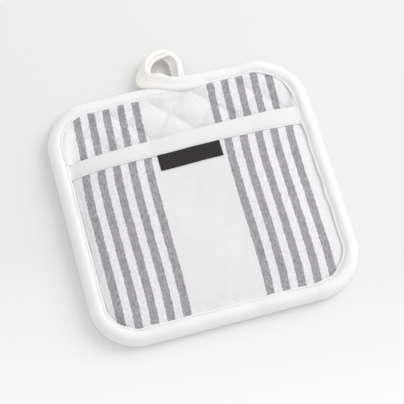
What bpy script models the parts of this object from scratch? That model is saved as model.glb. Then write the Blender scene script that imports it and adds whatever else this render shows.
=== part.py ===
"""A square padded pot holder with a hand pocket and a hanging loop, lying face up.

Lengths are in metres and +Z is up. The origin is on the underside, in the middle of the pad.
+X runs across the striped face and +Y runs towards the edge that carries the hanging loop.
"""

import math

import bmesh
import bpy
import numpy as np

# The space left between two pieces that touch.
GAP = 0.0003

# Outline of the pad, measured over the binding.
WIDTH = 0.215
HEIGHT = 0.212
CORNER_RADII = {
    "bottom left": 0.038,
    "bottom right": 0.041,
    "top left": 0.038,
    "top right": 0.042,
}
MEAN_CORNER_RADIUS = 0.040
CORNER_STEPS = 8

# The sewn top edge is a little uneven: it dips where the loop is sewn on and leans to one side.
TOP_DIP = 0.0020
TOP_DIP_X = -0.003
TOP_DIP_WIDTH = 0.014
TOP_LEAN = 0.012
TOP_UNEVEN_FROM_Y = 0.060
TOP_UNEVEN_TO_Y = 0.105

# Quilted pad: the rim lies inside the binding, the belly rests on the table.
PAD_RIM_LOW = 0.0017
PAD_RIM_TOP = 0.0085
PAD_STRAIGHT_STEPS = 20
PAD_COLUMNS = 34
BELLY_INSET = 0.0158
QUILT_PITCH = 0.0365
QUILT_CROSSING = (-0.0055, 0.0770)
QUILT_PUFF = 0.0009
QUILT_PUFF_UNDER_POCKET = 0.0003
QUILT_DEPTH = 0.0012
QUILT_START = 0.0135
QUILT_RAMP = 0.0090

# Pocket panel: one sheet that arches over the pad and is open towards +Y.
PANEL_CLOTH = 0.0018
PANEL_INSET = 0.0056
PANEL_RISE = 0.0062
PANEL_RISE_START = 0.0150
PANEL_RISE_LENGTH = 0.0580
PANEL_RISE_POWER = 0.8
PANEL_STRAIGHT_STEPS = 15
PANEL_COLUMNS = 28
MOUTH_Y = 0.0533
MOUTH_TILT = 0.018

# Tape folded over the mouth of the pocket.
TAPE_CLOTH = 0.0010
TAPE_FRONT_EDGE_Y = 0.0400
TAPE_ROUND_FROM = 0.0025
TAPE_BACK_WIDTH = 0.0115
TAPE_BACK_FULL_X = 0.077
TAPE_BACK_START_X = 0.083
TAPE_BACK_NONE_X = 0.089

# Small woven label below the tape.
LABEL_LEFT = -0.0249
LABEL_RIGHT = 0.0260
LABEL_HEIGHT = 0.0133
LABEL_THICKNESS = 0.0007
LABEL_COLUMNS = 10

# Edge binding: a folded strip with an open side towards the middle of the pad.
BINDING_WIDTH = 0.0125
BINDING_EXTRA_AT_POCKET = PANEL_CLOTH + GAP
BINDING_TALL_BELOW_Y = 0.0575
BINDING_LOW_ABOVE_Y = 0.0720
BINDING_SIDE_LEVELS = (-0.040, 0.000, 0.040, 0.0575, 0.061)
BINDING_END_STEPS = 8

# Section of the binding. Columns: inset from the outline, height beside the quilted strip,
# share of the extra height that it gains where the pocket panel is sewn in.
BINDING_SECTION = (
    (0.0125, 0.0102, 1.0),
    (0.0090, 0.0105, 1.0),
    (0.0055, 0.0103, 1.0),
    (0.0028, 0.0092, 1.0),
    (0.0009, 0.0074, 0.8),
    (0.0000, 0.0052, 0.5),
    (0.0007, 0.0029, 0.2),
    (0.0024, 0.0009, 0.0),
    (0.0048, 0.0000, 0.0),
    (0.0125, 0.0000, 0.0),
    (0.0125, 0.0014, 0.0),
    (0.0052, 0.0014, 0.0),
    (0.0034, 0.0021, 0.0),
    (0.0021, 0.0036, 0.2),
    (0.0014, 0.0052, 0.5),
    (0.0022, 0.0068, 0.8),
    (0.0036, 0.0081, 1.0),
    (0.0056, 0.0088, 1.0),
    (0.0090, 0.0089, 1.0),
    (0.0125, 0.0088, 1.0),
)

# Rim of the pad, from its quilted top to its belly. Columns: inset from the outline, height.
PAD_RIM = (
    (0.0070, PAD_RIM_TOP),
    (0.0037, 0.0075),
    (0.0019, 0.0052),
    (0.0036, 0.0026),
    (0.0056, PAD_RIM_LOW),
    (0.0129, PAD_RIM_LOW),
)

# Hanging loop: the free end of the binding strip, folded double.
LOOP_HALF_WIDTH = 0.0062
LOOP_STEPS_PER_ROW = 3
# Columns: x, y and height of the middle of the strip, then the direction in which its width
# points (degrees from +X, degrees up from level), then its thickness.
LOOP_ROUTE = (
    (0.0240, 0.0970, 0.0124, 92.0, 0.0, 0.0028),
    (0.0120, 0.0980, 0.0125, 85.0, 0.0, 0.0028),
    (0.0020, 0.0998, 0.0126, 76.0, 0.0, 0.0028),
    (-0.0060, 0.1032, 0.0125, 62.0, 2.0, 0.0029),
    (-0.0120, 0.1088, 0.0120, 38.0, 10.0, 0.0034),
    (-0.0151, 0.1152, 0.0107, 16.0, 26.0, 0.0042),
    (-0.0149, 0.1215, 0.0096, 4.0, 38.0, 0.0050),
    (-0.0112, 0.1272, 0.0090, 0.0, 43.0, 0.0052),
    (-0.0048, 0.1302, 0.0088, 0.0, 44.0, 0.0052),
    (0.0022, 0.1302, 0.0088, 0.0, 44.0, 0.0052),
    (0.0075, 0.1266, 0.0087, 0.0, 44.0, 0.0052),
    (0.0096, 0.1202, 0.0085, 0.0, 44.0, 0.0052),
    (0.0090, 0.1130, 0.0081, 0.0, 46.0, 0.0050),
    (0.0078, 0.1054, 0.0076, 0.0, 50.0, 0.0046),
)

# Colour and roughness of each cloth. Columns: name, red, green, blue, roughness.
CLOTHS = (
    ("striped_cotton", 0.84, 0.83, 0.82, 0.90),
    ("white_cotton_tape", 0.92, 0.91, 0.90, 0.85),
    ("black_woven_tape", 0.02, 0.018, 0.02, 0.70),
)


def clear_scene():
    for old in list(bpy.data.objects):
        bpy.data.objects.remove(old, do_unlink=True)


def make_material(name, red, green, blue, roughness):
    material = bpy.data.materials.new(name)
    material.use_nodes = True
    shader = material.node_tree.nodes["Principled BSDF"]
    shader.inputs["Base Color"].default_value = (red, green, blue, 1.0)
    shader.inputs["Roughness"].default_value = roughness
    shader.inputs["Metallic"].default_value = 0.0
    material.diffuse_color = (red, green, blue, 1.0)
    return material


def make_object(name, points, faces, material):
    """Makes one closed mesh object whose faces all point outwards."""
    shape = bmesh.new()
    corners = [shape.verts.new(point) for point in np.asarray(points, float).tolist()]
    for face in faces:
        shape.faces.new([corners[index] for index in face])
    bmesh.ops.recalc_face_normals(shape, faces=shape.faces[:])
    mesh = bpy.data.meshes.new(name)
    shape.to_mesh(mesh)
    shape.free()
    mesh.materials.append(material)
    mesh.shade_smooth()
    mesh.set_sharp_from_angle(angle=math.radians(40))
    piece = bpy.data.objects.new(name, mesh)
    bpy.context.scene.collection.objects.link(piece)
    return piece


def ease(value):
    """Rises smoothly from 0 to 1 as value goes from 0 to 1."""
    value = np.clip(value, 0.0, 1.0)
    return value * value * (3.0 - 2.0 * value)


def side_line(side, inset, levels, whole=True):
    """Points up the left (-1) or right (+1) side of the outline taken in by inset.

    They turn through the bottom corner, climb through the given levels of y and, when whole,
    turn through the top corner.
    """
    word = "right" if side > 0 else "left"
    turn = np.linspace(0.0, math.pi / 2, CORNER_STEPS + 1)
    low = CORNER_RADII["bottom " + word]
    high = CORNER_RADII["top " + word]
    bottom_x = WIDTH / 2 - low + (low - inset) * np.sin(turn)
    bottom_y = low - HEIGHT / 2 - (low - inset) * np.cos(turn)
    top_x = WIDTH / 2 - high + (high - inset) * np.cos(turn)
    top_y = HEIGHT / 2 - high + (high - inset) * np.sin(turn)
    x = [bottom_x, np.full(len(levels), WIDTH / 2 - inset)]
    y = [bottom_y, np.asarray(levels, float)]
    if whole:
        x.append(top_x)
        y.append(top_y)
    return np.stack([side * np.concatenate(x), np.concatenate(y)], axis=1)


def uneven(points):
    """Moves points near the top edge up or down by the edge's unevenness at their x."""
    x, y = points[..., 0], points[..., 1]
    dip = TOP_DIP * np.exp(-(((x - TOP_DIP_X) / TOP_DIP_WIDTH) ** 2))
    share = ease((y - TOP_UNEVEN_FROM_Y) / (TOP_UNEVEN_TO_Y - TOP_UNEVEN_FROM_Y))
    return np.stack([x, y + share * (TOP_LEAN * x - dip)], axis=-1)


def ruled_grid(left, right, shares):
    """Rows of points, each straight from the left line to the right line."""
    shares = np.asarray(shares)[None, :, None]
    return left[:, None] * (1.0 - shares) + right[:, None] * shares


def column_shares(columns):
    """Shares of the way across, closer together near both sides, where the cloth bends most."""
    even = np.linspace(0.0, 1.0, columns + 1)
    return 0.4 * even + 0.3 * (1.0 - np.cos(math.pi * even))


def pad_grid(inset):
    """The whole outline taken in by inset, filled with rows from side to side."""
    lines = []
    for side, word in ((-1, "left"), (1, "right")):
        low = CORNER_RADII["bottom " + word] - HEIGHT / 2
        high = HEIGHT / 2 - CORNER_RADII["top " + word]
        levels = np.linspace(low, high, PAD_STRAIGHT_STEPS + 1)[1:-1]
        lines.append(side_line(side, inset, levels))
    return ruled_grid(lines[0], lines[1], np.linspace(0.0, 1.0, PAD_COLUMNS + 1))


def border(rows, columns):
    """Indices round the edge of a grid of points, anticlockwise from its first point."""
    index = np.arange(rows * columns).reshape(rows, columns)
    return np.concatenate([index[0, :-1], index[:-1, -1], index[-1, :0:-1], index[:0:-1, 0]])


def grid_faces(rows, columns, start=0):
    index = start + np.arange(rows * columns).reshape(rows, columns)
    corners = (index[:-1, :-1], index[:-1, 1:], index[1:, 1:], index[1:, :-1])
    return np.stack(corners, axis=-1).reshape(-1, 4).tolist()


def band_faces(first, second):
    """Faces between two closed rings of indices that have as many points."""
    return np.stack([first, np.roll(first, -1), np.roll(second, -1), second], axis=1).tolist()


def tube_faces(stations, around, closed):
    """Faces of a section with so many points around, carried through the stations."""
    index = np.arange(stations * around).reshape(stations, around)
    faces = []
    for station in range(stations if closed else stations - 1):
        faces += band_faces(index[station], index[(station + 1) % stations])
    if not closed:
        faces += [index[0].tolist(), index[-1].tolist()]
    return faces


def inset_of(x, y):
    """How far a point lies inside the outline."""
    beside = np.abs(x) - WIDTH / 2 + MEAN_CORNER_RADIUS
    above = np.abs(y) - HEIGHT / 2 + MEAN_CORNER_RADIUS
    outside = np.hypot(np.maximum(beside, 0.0), np.maximum(above, 0.0))
    inside = np.minimum(np.maximum(beside, above), 0.0)
    return MEAN_CORNER_RADIUS - outside - inside


def mouth_y(x):
    """The free edge of the pocket panel, which is sewn on a little askew."""
    return MOUTH_Y + MOUTH_TILT * x


def quilted_height(x, y):
    """Top of the pad: diamonds that puff up between sewn channels at 45 degrees."""
    along = (x - QUILT_CROSSING[0] + y - QUILT_CROSSING[1]) / QUILT_PITCH
    across = (x - QUILT_CROSSING[0] - y + QUILT_CROSSING[1]) / QUILT_PITCH
    fullness = np.sqrt(np.abs(np.sin(math.pi * along) * np.sin(math.pi * across)))
    puff = np.where(y > mouth_y(x), QUILT_PUFF, QUILT_PUFF_UNDER_POCKET)
    ramp = ease((inset_of(x, y) - QUILT_START) / QUILT_RAMP)
    return PAD_RIM_TOP + ramp * (puff * fullness - QUILT_DEPTH * (1.0 - fullness))


def panel_height(x, y):
    """Top of the pocket panel: flat at its sewn edges and arched in between.

    The rise is a power of a quarter sine in the distance from each side and from the bottom.
    """
    quarter = math.pi / 2
    from_side = (WIDTH / 2 - np.abs(x) - PANEL_RISE_START) / PANEL_RISE_LENGTH
    from_bottom = (y + HEIGHT / 2 - PANEL_RISE_START) / PANEL_RISE_LENGTH
    rise = np.sin(quarter * np.clip(from_side, 0.0, 1.0)) ** PANEL_RISE_POWER
    rise = rise * np.sin(quarter * np.clip(from_bottom, 0.0, 1.0)) ** PANEL_RISE_POWER
    rise = rise * ease((inset_of(x, y) - QUILT_START) / QUILT_RAMP)
    return PAD_RIM_TOP + GAP + PANEL_CLOTH + PANEL_RISE * rise


def make_quilted_pad(material):
    """One filled solid: quilted top, rim inside the binding, flat belly on the table."""
    top = pad_grid(BINDING_WIDTH)
    rows, columns = top.shape[:2]
    flat = top.reshape(-1, 2)
    edge = border(rows, columns)
    points = [np.column_stack([uneven(flat), quilted_height(flat[:, 0], flat[:, 1])])]
    faces = grid_faces(rows, columns)
    last = edge
    count = len(flat)
    for inset, height in PAD_RIM + ((BELLY_INSET, 0.0),):
        ring = uneven(pad_grid(inset).reshape(-1, 2)[edge])
        points.append(np.column_stack([ring, np.full(len(ring), height)]))
        current = count + np.arange(len(ring))
        faces += band_faces(last, current)
        last = current
        count += len(ring)
    faces.append(last.tolist())
    return make_object("quilted_pad", np.concatenate(points), faces, material)


def make_pocket_panel(material):
    """One sheet under the binding on three sides, with a free edge at the mouth."""
    lines = []
    for side, word in ((-1, "left"), (1, "right")):
        low = CORNER_RADII["bottom " + word] - HEIGHT / 2
        high = mouth_y(side * (WIDTH / 2 - PANEL_INSET))
        levels = np.linspace(low, high, PANEL_STRAIGHT_STEPS + 1)[1:]
        lines.append(side_line(side, PANEL_INSET, levels, whole=False))
    sheet = ruled_grid(lines[0], lines[1], column_shares(PANEL_COLUMNS))
    rows, columns = sheet.shape[:2]
    flat = sheet.reshape(-1, 2)
    edge = border(rows, columns)
    top = panel_height(flat[:, 0], flat[:, 1])
    points = [np.column_stack([flat, top]), np.column_stack([flat, top - PANEL_CLOTH])]
    faces = grid_faces(rows, columns) + grid_faces(rows, columns, start=len(flat))
    faces += band_faces(edge, edge + len(flat))
    return make_object("pocket_panel", np.concatenate(points), faces, material)


def make_pocket_tape(material):
    """A strip folded over the mouth of the pocket, from binding to binding.

    Its back leg tapers away towards both ends, where the panel lies on the pad: from the middle
    outwards it first grows narrow and then draws up over the edge of the panel.
    """
    reach = WIDTH / 2 - BINDING_WIDTH - GAP
    columns = (2.0 * column_shares(PANEL_COLUMNS) - 1.0) * (WIDTH / 2 - PANEL_INSET)
    places = columns[np.abs(columns) < TAPE_BACK_FULL_X].tolist()
    for x in (TAPE_BACK_FULL_X, TAPE_BACK_START_X, TAPE_BACK_NONE_X, reach):
        places = [-x, *places, x]
    stations = []
    for x in places:
        narrow = np.interp(abs(x), (TAPE_BACK_FULL_X, TAPE_BACK_START_X), (1.0, 0.0))
        deep = np.interp(abs(x), (TAPE_BACK_START_X, TAPE_BACK_NONE_X), (1.0, 0.0))
        front_width = mouth_y(x) - TAPE_FRONT_EDGE_Y
        back_width = TAPE_BACK_WIDTH * narrow
        inner_low = -0.5 * PANEL_CLOTH - deep * (0.5 * PANEL_CLOTH + GAP)
        outer_low = inner_low - TAPE_CLOTH * (0.3 + 0.7 * deep)
        inner_front = -GAP
        outer_front = -GAP - TAPE_CLOTH
        # Columns: distance back from the free edge of the panel, height over its top.
        section = (
            (front_width, GAP),
            (front_width, GAP + TAPE_CLOTH),
            (TAPE_ROUND_FROM, GAP + TAPE_CLOTH),
            (0.5 * outer_front, GAP + 0.8 * TAPE_CLOTH),
            (outer_front, -0.1 * PANEL_CLOTH),
            (outer_front, 0.6 * outer_low),
            (0.6 * outer_front, outer_low),
            (back_width - 0.75 * GAP, outer_low),
            (back_width - 0.75 * GAP, inner_low),
            (inner_front, inner_low),
            (inner_front, GAP),
        )
        for distance, height in section:
            y = mouth_y(x) - distance
            stations.append((x, y, panel_height(x, min(y, mouth_y(x))) + height))
    faces = tube_faces(len(places), len(section), closed=False)
    return make_object("pocket_tape", stations, faces, material)


def make_label(material):
    """A plain woven tab that follows the panel just below the tape."""
    top_y = TAPE_FRONT_EDGE_Y - GAP
    bottom_y = top_y - LABEL_HEIGHT
    stations = []
    for x in np.linspace(LABEL_LEFT, LABEL_RIGHT, LABEL_COLUMNS + 1):
        for y, height in ((bottom_y, 0.0), (top_y, 0.0), (top_y, 1.0), (bottom_y, 1.0)):
            stations.append((x, y, panel_height(x, y) + GAP + height * LABEL_THICKNESS))
    faces = tube_faces(LABEL_COLUMNS + 1, 4, closed=False)
    return make_object("black_label", stations, faces, material)


def make_edge_binding(material):
    """The folded strip round the whole pad, as a section carried round the outline."""
    rings = []
    for inset, low, share in BINDING_SECTION:
        left = side_line(-1, inset, BINDING_SIDE_LEVELS)
        right = side_line(1, inset, BINDING_SIDE_LEVELS)
        across = np.linspace(0.0, 1.0, BINDING_END_STEPS + 1)[1:-1, None]
        bottom = left[0] * (1.0 - across) + right[0] * across
        top = right[-1] * (1.0 - across) + left[-1] * across
        ring = np.concatenate([bottom, right, top, left[::-1]])
        drop = (ring[:, 1] - BINDING_TALL_BELOW_Y) / (BINDING_LOW_ABOVE_Y - BINDING_TALL_BELOW_Y)
        height = low + share * BINDING_EXTRA_AT_POCKET * (1.0 - ease(drop))
        rings.append(np.column_stack([uneven(ring), height]))
    stations = np.stack(rings, axis=1)
    faces = tube_faces(stations.shape[0], stations.shape[1], closed=True)
    return make_object("edge_binding", stations.reshape(-1, 3), faces, material)


def smooth_route(rows, steps):
    """Reads points from the smooth curve through the rows (Catmull-Rom, open ended)."""
    rows = np.asarray(rows, float)
    padded = np.concatenate([[2 * rows[0] - rows[1]], rows, [2 * rows[-1] - rows[-2]]])
    share = np.arange(steps)[:, None] / steps
    pieces = []
    for before, start, end, after in zip(padded, padded[1:], padded[2:], padded[3:]):
        linear = end - before
        square = 2 * before - 5 * start + 4 * end - after
        cubic = 3 * start - before - 3 * end + after
        curve = start + 0.5 * (linear * share + square * share**2 + cubic * share**3)
        pieces.append(curve)
    pieces.append(rows[-1:])
    return np.concatenate(pieces)


def make_hanging_loop(material):
    """The strip lies on the binding, leaves the edge, stands up and curls back to the pad."""
    route = smooth_route(LOOP_ROUTE, LOOP_STEPS_PER_ROW)
    middle = route[:, :3]
    aim, lift = np.radians(route[:, 3]), np.radians(route[:, 4])
    half_thickness = route[:, 5:6] / 2
    width_way = np.stack(
        [np.cos(aim) * np.cos(lift), np.sin(aim) * np.cos(lift), np.sin(lift)], axis=1
    )
    ahead = np.gradient(middle, axis=0)
    thick_way = np.cross(width_way, ahead)
    thick_way /= np.linalg.norm(thick_way, axis=1, keepdims=True)
    # Columns: share of the half width, share of the half thickness.
    section = ((-1, -0.5), (-0.8, -1), (0.8, -1), (1, -0.5), (1, 0.5), (0.8, 1), (-0.8, 1), (-1, 0.5))
    lines = []
    for across, through in section:
        side = across * LOOP_HALF_WIDTH * width_way
        lines.append(middle + side + through * half_thickness * thick_way)
    stations = np.stack(lines, axis=1)
    faces = tube_faces(stations.shape[0], stations.shape[1], closed=False)
    return make_object("hanging_loop", stations.reshape(-1, 3), faces, material)


def main():
    clear_scene()
    cloths = {row[0]: make_material(*row) for row in CLOTHS}
    make_quilted_pad(cloths["striped_cotton"])
    make_pocket_panel(cloths["striped_cotton"])
    make_pocket_tape(cloths["white_cotton_tape"])
    make_label(cloths["black_woven_tape"])
    make_edge_binding(cloths["white_cotton_tape"])
    make_hanging_loop(cloths["white_cotton_tape"])


main()
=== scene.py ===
"""Looks of a square padded pot holder: quilted striped cotton, taped pocket, binding and loop.

Lengths are in metres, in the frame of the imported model: +X across the striped face, +Y towards
the hanging loop, +Z up, origin on the underside in the middle of the pad.
"""

import math

import bmesh
import bpy
import numpy as np
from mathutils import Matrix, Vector


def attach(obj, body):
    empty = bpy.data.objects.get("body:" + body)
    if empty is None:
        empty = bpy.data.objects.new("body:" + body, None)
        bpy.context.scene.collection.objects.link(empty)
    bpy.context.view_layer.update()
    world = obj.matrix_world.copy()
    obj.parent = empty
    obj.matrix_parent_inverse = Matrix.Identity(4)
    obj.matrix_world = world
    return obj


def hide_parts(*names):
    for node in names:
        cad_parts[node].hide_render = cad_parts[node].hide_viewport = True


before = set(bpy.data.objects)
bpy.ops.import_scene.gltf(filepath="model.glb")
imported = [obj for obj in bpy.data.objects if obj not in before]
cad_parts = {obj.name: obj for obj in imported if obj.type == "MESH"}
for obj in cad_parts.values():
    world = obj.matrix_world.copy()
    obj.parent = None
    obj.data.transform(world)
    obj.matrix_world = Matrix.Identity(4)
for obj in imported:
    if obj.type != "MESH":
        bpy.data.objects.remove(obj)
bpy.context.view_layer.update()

# -------- sizes shared with the solids
# A pair named for x, y, inset, height or end says where a smooth ramp starts and where it ends.
# Three numbers with a whole last one are unevenness: its size, the length of its waves, its seed.

GAP = 0.0003
WIDTH = 0.215
HEIGHT = 0.212
# Corners anticlockwise from the bottom right. Columns: side in x, side in y, radius.
CORNERS = ((1, -1, 0.041), (1, 1, 0.042), (-1, 1, 0.038), (-1, -1, 0.038))
MEAN_CORNER_RADIUS = 0.040

TOP_DIP = 0.0020
TOP_DIP_X = -0.003
TOP_DIP_WIDTH = 0.014
TOP_LEAN = 0.012
TOP_UNEVEN_Y = (0.060, 0.105)

PAD_RIM_TOP = 0.0085
PAD_RIM_LOW = 0.0017
QUILT_PITCH = 0.0365
QUILT_SPACING = QUILT_PITCH / math.sqrt(2.0)
QUILT_CROSSING = (-0.0055, 0.0770)

PANEL_INSET = 0.0056
PANEL_CLOTH = 0.0018
PANEL_RISE = 0.0062
PANEL_RISE_START = 0.0150
PANEL_RISE_LENGTH = 0.0580
PANEL_RISE_POWER = 0.8
PANEL_RISE_INSET = (0.0135, 0.0225)
MOUTH_Y = 0.0533
MOUTH_TILT = 0.018

TAPE_FRONT_EDGE_Y = 0.0400
LABEL_LEFT = -0.0249
LABEL_RIGHT = 0.0260
LABEL_HEIGHT = 0.0133

BINDING_EXTRA_AT_POCKET = PANEL_CLOTH + GAP
BINDING_LOWERS_Y = (0.0575, 0.0720)

# -------- sizes of the fine surface

# Steps from row to row of a section's table, and the range of an unevenness's wave lengths.
SECTION_STEPS = 2
WAVE_LENGTHS = (0.7, 1.6)

# Quilted pad before the wadding swells it.
PAD_INSET = 0.0045
PAD_ROWS_IN_CORNER = 15
PAD_ROWS_STRAIGHT = 66
PAD_COLUMNS = 96
# Rings of points round the rim. Columns: inset from the outline, height.
PAD_RIM = ((0.0030, 0.0070), (0.0023, 0.0052), (0.0033, 0.0032))
PAD_TOP_BEFORE = 0.0079
PAD_BELLY_BEFORE = 0.0019
PAD_LOWEST = 0.0002
CHANNEL_TOP = 0.0078
CHANNEL_BELLY = 0.0022
CHANNEL_HALF_WIDTH = 0.0012
CHANNEL_PIN_REACH = 0.0010
SEWN_RIM = 0.0130
CHANNEL_START_INSET = (SEWN_RIM, 0.0170)
DOME_HEIGHT = 0.0018
PUFF_LIMIT = 0.0008
WADDING_PRESSURE = 6.0
WADDING_FRAMES = 20
SPARE_CLOTH = 0.010
PUCKER_HEIGHT = 0.00032
PUCKER_LENGTH = 0.0036
PUCKER_REACH = 0.0040
PUCKER_MEAN = 0.6
# One row for each direction of the channels.
PUCKER_DRIFT = ((1.5, 0.02, 20), (1.5, 0.02, 21))
PUCKER_SWING = ((0.4, 0.03, 30), (0.4, 0.03, 31))

# Pocket panel.
PANEL_ROWS_IN_CORNER = 38
PANEL_ROWS_STRAIGHT = 84
PANEL_COLUMNS = 190
PANEL_CROWDING = 0.62
PANEL_SHEET = 0.0010
SEAM_INSET = 0.0125
SEAM_DIP = 0.0014
SEAM_DIP_INSET = (SEAM_INSET, 0.0193)
# Share of the dip at the bottom, and what is added at the left and at the right.
SEAM_DIP_AT_BOTTOM = 0.25
SEAM_DIP_ADDED = (0.75, 0.40)
SEAM_DIP_ADDED_X = (0.045, 0.085)
SEAM_TUCK = 0.0006
SEAM_TUCK_INSET = (SEAM_INSET, 0.0147)
SEAM_GROOVE_DEPTH = 0.0003
SEAM_GROOVE_INSET = 0.0152
SEAM_GROOVE_HALF_WIDTH = 0.0006
# The tuck and the groove are patchy, and grow from a least share to their full depth at the left.
TUCK_LEAST = 0.25
TUCK_GROWS_X = (0.0, -0.080)
TUCK_MEAN = 0.75
TUCK_PATCHES = (0.35, 0.030, 5)
TUCK_RANGE = (0.2, 1.2)
LOOSE_INSET = (SEAM_GROOVE_INSET, 0.0352)
LOOSE_WAVES = (0.00035, 0.070, 3)
LOOSE_RIPPLES = (0.00010, 0.024, 4)
GATHERS = (0.00013, 0.0070, 6)
GATHER_START_INSET = (SEAM_INSET, 0.0155)
GATHER_REACH = 0.0065

# Section of the binding, over its outer side and back along its inner side. Columns: inset from
# the outline, height beside the quilted strip, share of the extra height beside the pocket.
BINDING_SECTION = (
    (0.0125, 0.00875, 0.62), (0.01278, 0.00918, 0.62), (0.01262, 0.00966, 0.62),
    (0.012, 0.00992, 0.64), (0.01135, 0.00978, 0.66), (0.01085, 0.00945, 0.68), (0.0101, 0.01, 0.8),
    (0.0087, 0.01078, 0.95), (0.0068, 0.0112, 1.0), (0.0048, 0.01105, 1.0), (0.0029, 0.01, 1.0),
    (0.0013, 0.0081, 0.8), (0.0003, 0.0057, 0.5), (0.0005, 0.0033, 0.2), (0.002, 0.0013, 0.0),
    (0.0044, 0.0002, 0.0), (0.008, 0.0, 0.0), (0.0116, 0.0001, 0.0), (0.0125, 0.0006, 0.0),
    (0.01235, 0.00125, 0.0), (0.011, 0.0014, 0.0), (0.006, 0.0014, 0.0), (0.0036, 0.0021, 0.1),
    (0.0021, 0.0036, 0.3), (0.0016, 0.0054, 0.5), (0.0023, 0.007, 0.7), (0.0038, 0.008, 0.8),
    (0.006, 0.0086, 0.8), (0.0095, 0.0087, 0.62),
)
BINDING_STATIONS = 640
# Where the unevenness below has its full size: towards the inner edge, and on the upper side.
BINDING_INNER_INSET = (0.0070, 0.0120)
BINDING_UPPER_HEIGHT = (0.0040, 0.0080)
BINDING_WANDER = (0.00022, 0.028, 11)
BINDING_PLUMPNESS = (0.00034, 0.045, 12)
PLUMPNESS_LOST_INSIDE = 0.6
BINDING_GATHER_HEIGHT = 0.00020
BINDING_GATHER_LENGTH = 0.0052
BINDING_GATHER_DRIFT = (2.0, 0.03, 13)
BINDING_GATHER_AT_SIDES = 0.25
BINDING_EDGE_HALF_WIDTH = 0.0008
# The inner half of the binding is fuller at the top and left than at the bottom and right.
FULLNESS = 0.0022
FULL_INSET = (0.0035, 0.0112)
FULL_HEIGHT = (0.0088, 0.0094)
FULL_LEAST_AT = math.radians(-45.0)
# The cloth beside the binding rises with it. The quilted cloth also rises by itself, and dips a
# little instead at the right.
RIM_LIFT_INSET = 0.0135
RIM_LIFT_HALF_WIDTH = 0.0050
RIM_LIFT_PANEL_SHARE = 0.25
RIM_LIFT = 0.0009
RIM_LIFT_FALL = 1.6
RIM_LIFT_FALLS_X = (0.040, 0.090)
RIM_STEP_HALF_WIDTH = 0.0040

# Tape over the mouth of the pocket, over its outer side and back along its inner side.
# Columns: distance back from the mouth as a share of the front leg, more distance in metres,
# height over the panel's top.
TAPE_SECTION = (
    (1.0, 0.0, 0.0001), (1.0, 0.0001, 0.0004), (1.0, -0.0004, 0.0007), (1.0, -0.0012, 0.0006),
    (1.0, -0.0022, 0.0009), (0.6, 0.0, 0.0011), (0.3, 0.0, 0.0011), (0.0, 0.002, 0.0011),
    (0.0, 0.0002, 0.0008), (0.0, -0.001, 0.0001), (0.0, -0.0014, -0.001), (0.0, -0.0009, -0.002),
    (0.0, 0.0006, -0.0024), (0.0, 0.004, -0.0024), (0.0, 0.0112, -0.0023), (0.0, 0.0114, -0.0017),
    (0.0, 0.004, -0.0015), (0.0, 0.0003, -0.0013), (0.0, -0.0003, -0.0008), (0.0, 0.0, 0.0001),
    (0.0, 0.003, 0.0002), (0.5, 0.0, 0.0002),
)
TAPE_COLUMNS = 180
TAPE_END_INSET = 0.0112
TAPE_BACK_THINS_X = (0.072, 0.088)
TAPE_BACK_THINNING = 0.65
TAPE_WOBBLE = (0.00018, 0.030, 8)
TAPE_PUFF = 0.00025
TAPE_PUFFS_ABOVE = 0.0005
# How much of the panel's slope to the side seams the tape follows.
TAPE_FOLLOWS = 0.5

# Section of the label. Columns: share of the way up it, share of its thickness.
LABEL_SECTION = (
    (0.0, 0.1), (0.0, 0.8), (0.012, 1.0), (0.25, 1.0), (0.5, 1.0), (0.75, 1.0), (0.988, 1.0),
    (1.0, 0.8), (1.0, 0.1), (0.75, 0.0), (0.5, 0.0), (0.25, 0.0),
)
LABEL_COLUMNS = 68
LABEL_CLEARANCE = 0.00012
LABEL_CLOTH = 0.00060
# What the turned-under ends add, and how thin the very end is nipped.
LABEL_FOLD = 0.00022
LABEL_FOLD_END = (0.0042, 0.0050)
LABEL_NIP = 0.35
LABEL_NIP_END = (0.0, 0.0004)

# Hanging loop. Columns: x, y and height of the middle of the strip, the direction in which its
# width points (degrees from +X, degrees up from level), half its width, its thickness, and how
# far its middle bulges.
LOOP_STEPS_PER_ROW = 9
LOOP_ROUTE = (
    (0.044, 0.099, 0.0078, 91.0, 0.0, 0.0056, 0.0024, 0.0004),
    (0.033, 0.0985, 0.0098, 91.0, 0.0, 0.006, 0.0028, 0.0009),
    (0.023, 0.0981, 0.0112, 89.0, 0.0, 0.0062, 0.0036, 0.0012),
    (0.012, 0.0987, 0.0121, 83.0, 1.0, 0.0062, 0.0038, 0.001),
    (0.0014, 0.1012, 0.0122, 73.0, 6.0, 0.0061, 0.0042, 0.0008),
    (-0.0074, 0.1062, 0.0113, 55.0, 9.0, 0.0071, 0.0048, 0.0006),
    (-0.0156, 0.1097, 0.0094, 30.0, 14.0, 0.0074, 0.0056, 0.0003),
    (-0.0174, 0.1138, 0.0078, 8.0, 30.0, 0.0071, 0.0062, 0.0),
    (-0.0163, 0.119, 0.007, 1.0, 42.0, 0.0063, 0.0066, 0.0002),
    (-0.0128, 0.125, 0.0063, 0.0, 48.0, 0.0056, 0.007, 0.0005),
    (-0.0074, 0.1294, 0.0061, 0.0, 42.0, 0.0053, 0.0074, 0.0008),
    (-0.0002, 0.1311, 0.006, 0.0, 37.0, 0.0051, 0.0077, 0.001),
    (0.0055, 0.1298, 0.006, 0.0, 34.0, 0.005, 0.008, 0.001),
    (0.0092, 0.1258, 0.006, 0.0, 34.0, 0.005, 0.008, 0.001),
    (0.0107, 0.12, 0.006, 0.0, 34.0, 0.005, 0.008, 0.001),
    (0.0103, 0.1132, 0.006, 0.0, 36.0, 0.005, 0.0076, 0.001),
    (0.0092, 0.1062, 0.006, 0.0, 40.0, 0.005, 0.007, 0.0008),
)
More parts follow.
